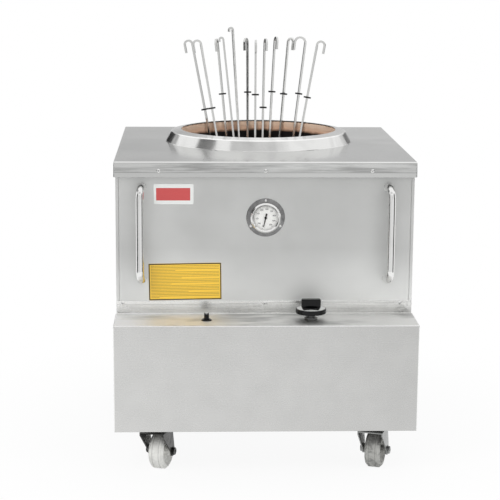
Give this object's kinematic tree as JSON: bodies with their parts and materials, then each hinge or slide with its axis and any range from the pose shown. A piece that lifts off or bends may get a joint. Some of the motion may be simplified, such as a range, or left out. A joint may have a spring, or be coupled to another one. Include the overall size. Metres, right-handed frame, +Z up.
{
  "type": "tandoor oven",
  "caption": "Square stainless gas tandoor oven on swivel casters: clay pot under a round mouth, control box with knob and igniter, dial thermometer, bow handles, hooked skewers.",
  "frame": {"origin": "on the floor, under the middle of the bounding box in plan", "axes": "+Z up; the control box, thermometer and handles face -Y; +X is to the right of someone facing the front"},
  "size_m": [0.815, 0.96, 1.1573],
  "materials": {
    "top_steel": "satin",
    "panel_steel": "satin",
    "housing_steel": "satin",
    "painted_frame": "matte",
    "galvanised_sheet": "matte",
    "fired_clay": "matte",
    "mineral_wool": "matte",
    "cast_burner": "matte",
    "heat_darkened_steel": "matte",
    "gas_pipe": "satin",
    "electrode_lead": "matte",
    "valve_brass": "satin",
    "zinc_hardware": "satin",
    "black_knob": "gloss",
    "polished_trim": "polished",
    "dial_face": "matte",
    "gauge_glass": "gloss",
    "needle_black": "matte",
    "name_plate_red": "satin",
    "notice_yellow": "satin",
    "caster_zinc": "satin",
    "caster_tread": "satin",
    "skewer_steel": "satin"
  },
  "bodies": {
    "cabinet": {"top_cover": "top_steel", "mouth_collar": "top_steel", "front_panel": "panel_steel", "rear_panel": "panel_steel", "left_side_panel": "panel_steel", "right_side_panel": "panel_steel", "control_housing": "housing_steel", "base_frame": "painted_frame", "floor_pan": "galvanised_sheet", "pot_shelf": "painted_frame", "clay_pot": "fired_clay", "insulation": "mineral_wool", "burner": "cast_burner", "flame_spreader": "heat_darkened_steel", "gas_inlet_pipe": "gas_pipe", "burner_feed_pipe": "gas_pipe", "pilot_burner": "gas_pipe", "thermocouple": "gas_pipe", "spark_electrode": "electrode_lead", "gas_valve": "valve_brass", "valve_locknut": "zinc_hardware", "igniter_body": "black_knob", "igniter_nut": "black_knob", "thermometer_case": "polished_trim", "thermometer_dial": "dial_face", "thermometer_glass": "gauge_glass", "thermometer_bezel": "polished_trim", "left_handle": "polished_trim", "right_handle": "polished_trim", "name_plate": "name_plate_red", "notice_plate": "notice_yellow", "panel_screws": "zinc_hardware", "thermometer_screws": "zinc_hardware", "caster_plates": "caster_zinc", "caster_bolts": "zinc_hardware"},
    "knob_push": {"valve_push_sleeve": "valve_brass"},
    "knob": {"control_knob": "black_knob", "valve_stem": "zinc_hardware"},
    "igniter_plunger": {"igniter_button": "black_knob"},
    "needle": {"thermometer_needle": "needle_black"},
    "fork_front_left": {"caster_fork_front_left": "caster_zinc"},
    "wheel_front_left": {"caster_wheel_front_left": "caster_tread"},
    "fork_front_right": {"caster_fork_front_right": "caster_zinc"},
    "wheel_front_right": {"caster_wheel_front_right": "caster_tread"},
    "fork_rear_left": {"caster_fork_rear_left": "caster_zinc"},
    "wheel_rear_left": {"caster_wheel_rear_left": "caster_tread"},
    "fork_rear_right": {"caster_fork_rear_right": "caster_zinc"},
    "wheel_rear_right": {"caster_wheel_rear_right": "caster_tread"},
    "skewer_01": {"skewer_01": "skewer_steel"},
    "skewer_02": {"skewer_02": "skewer_steel"},
    "skewer_03": {"skewer_03": "skewer_steel"},
    "skewer_04": {"skewer_04": "skewer_steel"},
    "skewer_05": {"skewer_05": "skewer_steel"},
    "skewer_06": {"skewer_06": "skewer_steel"},
    "skewer_07": {"skewer_07": "skewer_steel"},
    "skewer_08": {"skewer_08": "skewer_steel"},
    "skewer_09": {"skewer_09": "skewer_steel"},
    "skewer_10": {"skewer_10": "skewer_steel"},
    "skewer_11": {"skewer_11": "skewer_steel"},
    "skewer_12": {"skewer_12": "skewer_steel"}
  },
  "joints": [
    {"name": "knob_press", "type": "slide", "parent": "cabinet", "child": "knob_push", "axis": [0, 0, -1], "range_m": [0, 0.005], "stiffness_N_per_m": 900, "springref_m": -0.004},
    {"name": "knob_turn", "type": "hinge", "parent": "knob_push", "child": "knob", "pos_m": [0.121, -0.414, 0.439], "axis": [0, 0, 1], "range_deg": [0, 180]},
    {"name": "igniter_press", "type": "slide", "parent": "cabinet", "child": "igniter_plunger", "axis": [0, 0, -1], "range_m": [0, 0.006], "stiffness_N_per_m": 800, "springref_m": -0.002},
    {"name": "needle_swing", "type": "hinge", "parent": "cabinet", "child": "needle", "pos_m": [0.001, -0.34, 0.6845], "axis": [0, 1, 0], "range_deg": [0, 308]},
    {"name": "swivel_front_left", "type": "hinge", "parent": "cabinet", "child": "fork_front_left", "pos_m": [-0.294, -0.427, 0.1187], "axis": [0, 0, 1], "continuous": true},
    {"name": "roll_front_left", "type": "hinge", "parent": "fork_front_left", "child": "wheel_front_left", "pos_m": [-0.28228, -0.39296, 0.05], "axis": [0.9455, -0.3256, 0], "continuous": true},
    {"name": "swivel_front_right", "type": "hinge", "parent": "cabinet", "child": "fork_front_right", "pos_m": [0.294, -0.427, 0.1187], "axis": [0, 0, 1], "continuous": true},
    {"name": "roll_front_right", "type": "hinge", "parent": "fork_front_right", "child": "wheel_front_right", "pos_m": [0.30572, -0.39296, 0.05], "axis": [0.9455, -0.3256, 0], "continuous": true},
    {"name": "swivel_rear_left", "type": "hinge", "parent": "cabinet", "child": "fork_rear_left", "pos_m": [-0.294, 0.395, 0.1187], "axis": [0, 0, 1], "continuous": true},
    {"name": "roll_rear_left", "type": "hinge", "parent": "fork_rear_left", "child": "wheel_rear_left", "pos_m": [-0.25923, 0.40432, 0.05], "axis": [0.2588, -0.9659, 0], "continuous": true},
    {"name": "swivel_rear_right", "type": "hinge", "parent": "cabinet", "child": "fork_rear_right", "pos_m": [0.294, 0.395, 0.1187], "axis": [0, 0, 1], "continuous": true},
    {"name": "roll_rear_right", "type": "hinge", "parent": "fork_rear_right", "child": "wheel_rear_right", "pos_m": [0.26451, 0.37435, 0.05], "axis": [-0.5736, 0.8192, 0], "continuous": true},
    {"name": "lift_skewer_01", "type": "slide", "parent": "cabinet", "child": "skewer_01", "axis": [-0.1894, 0.0696, 0.9794], "range_m": [0, 0.65]},
    {"name": "lift_skewer_02", "type": "slide", "parent": "cabinet", "child": "skewer_02", "axis": [-0.1688, 0.1308, 0.9769], "range_m": [0, 0.65]},
    {"name": "lift_skewer_03", "type": "slide", "parent": "cabinet", "child": "skewer_03", "axis": [-0.0959, 0.1044, 0.9899], "range_m": [0, 0.65]},
    {"name": "lift_skewer_04", "type": "slide", "parent": "cabinet", "child": "skewer_04", "axis": [-0.1059, 0.152, 0.9827], "range_m": [0, 0.65]},
    {"name": "lift_skewer_05", "type": "slide", "parent": "cabinet", "child": "skewer_05", "axis": [-0.0572, 0.1331, 0.9894], "range_m": [0, 0.65]},
    {"name": "lift_skewer_06", "type": "slide", "parent": "cabinet", "child": "skewer_06", "axis": [-0.0057, 0.1113, 0.9938], "range_m": [0, 0.65]},
    {"name": "lift_skewer_07", "type": "slide", "parent": "cabinet", "child": "skewer_07", "axis": [0.005, 0.1382, 0.9904], "range_m": [0, 0.65]},
    {"name": "lift_skewer_08", "type": "slide", "parent": "cabinet", "child": "skewer_08", "axis": [0.024, 0.161, 0.9867], "range_m": [0, 0.65]},
    {"name": "lift_skewer_09", "type": "slide", "parent": "cabinet", "child": "skewer_09", "axis": [0.0543, 0.125, 0.9907], "range_m": [0, 0.65]},
    {"name": "lift_skewer_10", "type": "slide", "parent": "cabinet", "child": "skewer_10", "axis": [0.0852, 0.1312, 0.9877], "range_m": [0, 0.65]},
    {"name": "lift_skewer_11", "type": "slide", "parent": "cabinet", "child": "skewer_11", "axis": [0.1258, 0.1187, 0.9849], "range_m": [0, 0.65]},
    {"name": "lift_skewer_12", "type": "slide", "parent": "cabinet", "child": "skewer_12", "axis": [0.181, 0.1178, 0.9764], "range_m": [0, 0.65]}
  ]
}
